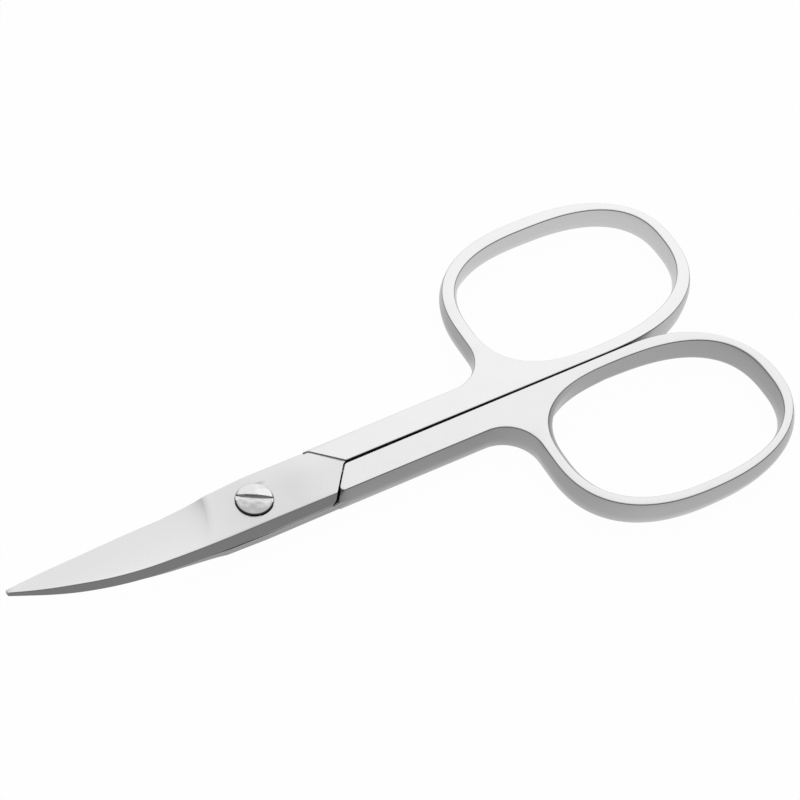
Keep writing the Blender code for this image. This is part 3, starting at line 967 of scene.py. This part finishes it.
def screwSteel():
    material, tree, shader = newMaterial("screwSteel")
    place = addNode(tree, "ShaderNodeTexCoord", None, output="Object")
    x, y, z = (part * (1 / mm) for part in parts(tree, place))
    fromAxis = addNode(tree, "ShaderNodeVectorMath", {"operation": "LENGTH"}, output="Value",
                       i0=addNode(tree, "ShaderNodeCombineXYZ", None, X=x - pivot.x, Y=y, Z=0.0))
    outwards = addNode(tree, "ShaderNodeCombineXYZ", None, X=fromAxis * mm, Y=0.0, Z=0.0)
    rings = noise(tree, outwards, polish["rings"]) - 0.5
    side = 1 - ramp(tree, attribute(tree, "facing"), *polish["lookUp"])
    inside = 1 - ramp(tree, z, *(screw["rim"] - depth for depth in polish["floorDepth"]))
    atRim = ramp(tree, fromAxis, *(screw["headRadius"] - width for width in polish["rimWidth"]))
    # Painted shade on the head's side and in the slot.
    sideShade = mix(polish["slotWallShade"], polish["rim"], atRim)
    tone = mix(mix(polish["top"], sideShade, side), polish["slotFloorShade"], inside * (1 - side))
    tone = tone * (1 + rings * polish["ringTone"])
    rough = polish["roughness"] + rings * polish["ringRough"]
    wave = noise(tree, place, polish["wave"], detailLevel=1.0) - 0.5
    bump = addNode(tree, "ShaderNodeBump", None, Strength=1.0, Distance=mm,
                   Height=rings * polish["ringDepth"] + wave * polish["waveDepth"])
    setMetal(tree, shader, tone, rough, bump)
    return material


for name, piece in halfPieces.items():
    piece.data.materials.clear()
    piece.data.materials.append(satinSteel(name, halves[name]))
screwPiece.data.materials.clear()
screwPiece.data.materials.append(screwSteel())
print("materials set")


# Studio: floor, world, lamp and camera

studio = {
    "floorSize": 6.0,             # in metres
    "floorColour": 0.95,
    "backgroundShare": 0.975,     # of plain white in what the camera and the steel see of the floor
    "box": (0.60, 0.70, 0.55),    # the way to the bright part of the sky
    "boxFrom": 0.70,              # cosines of the angles at which its edge starts and ends
    "boxTo": 0.90,
    "sky": 1.06,                  # brightness there
    "dimSky": 0.64,               # and elsewhere
    "horizon": 0.22,
    "darkTo": 0.10,               # a height above the horizon, as a share of straight up
    "brightFrom": 0.38,
    "backLift": 0.35,             # how much further down the light comes at the back
}


def makeFloor():
    deselect()
    bpy.ops.mesh.primitive_grid_add(x_subdivisions=2, y_subdivisions=2, size=studio["floorSize"])
    floor = bpy.context.object
    floor.name = "floor"
    material = bpy.data.materials.new("whiteTable")
    material.use_nodes = True
    tree = material.node_tree
    tree.nodes.remove(tree.nodes["Principled BSDF"])
    path = tree.nodes.new("ShaderNodeLightPath")
    seen = (Wire(tree, path.outputs["Is Camera Ray"]) + Wire(tree, path.outputs["Is Glossy Ray"])
            + Wire(tree, path.outputs["Is Transmission Ray"]))
    share = seen * studio["backgroundShare"]
    level = studio["floorColour"]
    paper = addNode(tree, "ShaderNodeBsdfDiffuse", None, i0=(level, level, level, 1.0))
    white = addNode(tree, "ShaderNodeEmission", None, i0=(1.0, 1.0, 1.0, 1.0), i1=1.0)
    mixed = addNode(tree, "ShaderNodeMixShader", None, i0=share, i1=paper, i2=white)
    tree.links.new(mixed.socket, tree.nodes["Material Output"].inputs["Surface"])
    floor.data.materials.append(material)


def makeWorld():
    world = bpy.data.worlds.new("studio")
    bpy.context.scene.world = world
    world.use_nodes = True
    tree = world.node_tree
    background = tree.nodes["Background"]
    direction = addNode(tree, "ShaderNodeTexCoord", None, output="Generated")
    _, depth, height = parts(tree, direction)
    towards = addNode(tree, "ShaderNodeVectorMath", {"operation": "DOT_PRODUCT"}, output="Value",
                      i0=direction, i1=Vector(studio["box"]).normalized())
    sky = ramp(tree, towards, studio["boxFrom"], studio["boxTo"], studio["dimSky"], studio["sky"])
    above = ramp(tree, height + depth * studio["backLift"], studio["darkTo"], studio["brightFrom"])
    light = mix(studio["horizon"], sky, above)
    path = tree.nodes.new("ShaderNodeLightPath")
    strength = mix(light, 1.0, Wire(tree, path.outputs["Is Camera Ray"]))
    tree.links.new(strength.socket, background.inputs["Strength"])
    background.inputs["Color"].default_value = (1.0, 1.0, 1.0, 1.0)


softbox = {
    "place": (420, 390, 620),
    "size": 0.40,                 # in metres
    "radiance": 0.12,
}


def makeLamp():
    deselect()
    bpy.ops.object.light_add(type="AREA", location=Vector(softbox["place"]) * mm)
    lamp = bpy.context.object
    lamp.name = "softbox"
    lamp.data.size = softbox["size"]
    lamp.data.energy = softbox["radiance"] * 4 * softbox["size"] ** 2      # in watts
    lamp.rotation_euler = (-lamp.location).to_track_quat("-Z", "Y").to_euler()


camera = {
    "aim": (20.6, 4.57, 3.5),     # from the pivot's axis
    "distance": 313.15,
    "azimuth": -35.91,
    "elevation": 52.75,
    "roll": 7.466,
    "lens": 128.24,
    "sensor": 36.0,
    "clip": (0.01, 20.0),         # in metres
}


def makeCamera():
    azimuth, elevation = math.radians(camera["azimuth"]), math.radians(camera["elevation"])
    back = Vector((math.sin(azimuth) * math.cos(elevation),
                   -math.cos(azimuth) * math.cos(elevation), math.sin(elevation)))
    aim = Vector(camera["aim"]) + Vector((pivot.x, 0.0, 0.0))
    deselect()
    bpy.ops.object.camera_add(location=(aim + back * camera["distance"]) * mm)
    eye = bpy.context.object
    turn = (-back).to_track_quat("-Z", "Y") @ Quaternion((0, 0, 1), math.radians(camera["roll"]))
    eye.rotation_euler = turn.to_euler()
    eye.data.lens = camera["lens"]
    eye.data.sensor_width = camera["sensor"]
    eye.data.clip_start, eye.data.clip_end = camera["clip"]
    bpy.context.scene.camera = eye


makeFloor()
makeWorld()
makeLamp()
makeCamera()
bpy.context.scene.view_settings.view_transform = "Standard"
print("studio set")
